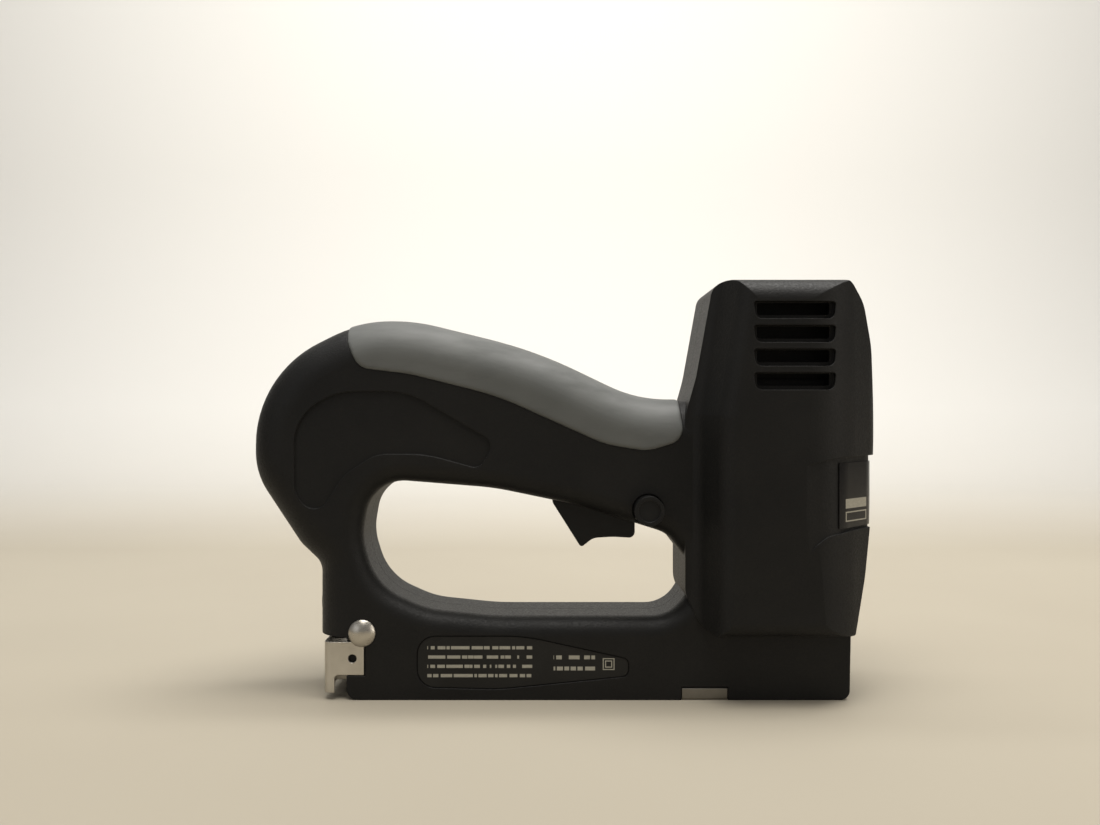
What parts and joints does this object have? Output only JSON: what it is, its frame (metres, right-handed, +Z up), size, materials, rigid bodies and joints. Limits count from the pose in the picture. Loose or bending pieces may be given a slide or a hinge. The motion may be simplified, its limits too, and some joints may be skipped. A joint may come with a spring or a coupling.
{
  "type": "electric stapler",
  "caption": "Corded electric stapler and nailer with a boxy vented head, looped handle with a soft grey grip, fin trigger, cross-bolt lock and a slide-out rear magazine.",
  "frame": {"origin": "middle of the bounding box, on the plane that the base rests on", "axes": "+X to the nose, +Y to the tool's left side, +Z up"},
  "size_m": [0.2039, 0.06, 0.135],
  "materials": {
    "black_shell": "matt",
    "grip_rubber": "matt",
    "bright_steel": "satin",
    "dark_steel": "satin",
    "copper_wire": "gloss",
    "bobbin_plastic": "matt",
    "bumper_rubber": "matt",
    "gloss_black": "gloss",
    "label_film": "gloss",
    "board_green": "satin",
    "lead_sleeve": "satin",
    "control_plastic": "satin"
  },
  "bodies": {
    "stapler_body": {"right_housing": "black_shell", "left_housing": "black_shell", "grip_cushion": "grip_rubber", "case_screws": "dark_steel", "rating_label": "label_film", "front_label": "gloss_black", "cord_inlet_bush": "bumper_rubber", "solenoid_yoke": "dark_steel", "coil_bobbin": "bobbin_plastic", "coil_winding": "copper_wire", "upper_bumper": "bumper_rubber", "lower_bumper": "bumper_rubber", "nose_front_plate": "bright_steel", "nose_back_plate": "bright_steel", "magazine_channel": "bright_steel", "cross_pin": "bright_steel", "front_clip": "bright_steel", "trigger_pin": "bright_steel", "micro_switch": "control_plastic", "supply_leads": "lead_sleeve", "coil_leads": "lead_sleeve", "circuit_board": "board_green", "board_screws": "bright_steel", "drive_capacitor": "gloss_black", "drive_thyristor": "control_plastic", "terminal_block": "bobbin_plastic", "return_spring": "bright_steel", "trigger_spring": "bright_steel"},
    "striker": {"plunger": "bright_steel", "driver_blade": "bright_steel", "blade_pin": "bright_steel"},
    "magazine_slide": {"magazine_rail": "bright_steel", "guide_rod": "bright_steel", "magazine_end_cap": "bright_steel", "follower_spring": "bright_steel"},
    "follower_body": {"follower": "dark_steel"},
    "trigger_body": {"trigger": "control_plastic"},
    "lock_body": {"lock_button": "control_plastic"},
    "lever_body": {"switch_lever": "bright_steel"}
  },
  "joints": [
    {"name": "striker_slide", "type": "slide", "parent": "stapler_body", "child": "striker", "axis": [0, 0, -1], "range_m": [0, 0.016], "stiffness_N_per_m": 350, "springref_m": -0.006, "deforming": ["return_spring"]},
    {"name": "magazine_slide_out", "type": "slide", "parent": "stapler_body", "child": "magazine_slide", "axis": [-1, 0, 0], "range_m": [0, 0.12]},
    {"name": "follower_slide", "type": "slide", "parent": "magazine_slide", "child": "follower_body", "axis": [-1, 0, 0], "range_m": [0, 0.1], "stiffness_N_per_m": 20, "springref_m": -0.06, "deforming": ["follower_spring"]},
    {"name": "trigger_hinge", "type": "hinge", "parent": "stapler_body", "child": "trigger_body", "pos_m": [0.019, 0, 0.0645], "axis": [0, 1, 0], "range_deg": [0, 12], "stiffness_Nm_per_rad": 0.6, "springref_deg": -14.32, "deforming": ["trigger_spring"]},
    {"name": "switch_lever_hinge", "type": "hinge", "parent": "stapler_body", "child": "lever_body", "pos_m": [-0.012, 0, 0.0762], "axis": [0, 1, 0], "range_deg": [-13.8, 0]},
    {"name": "lock_slide", "type": "slide", "parent": "stapler_body", "child": "lock_body", "axis": [0, 1, 0], "range_m": [0, 0.004]}
  ],
  "couplings": [
    {"joint": "switch_lever_hinge", "follows": "trigger_hinge", "ratio": -1.15}
  ]
}
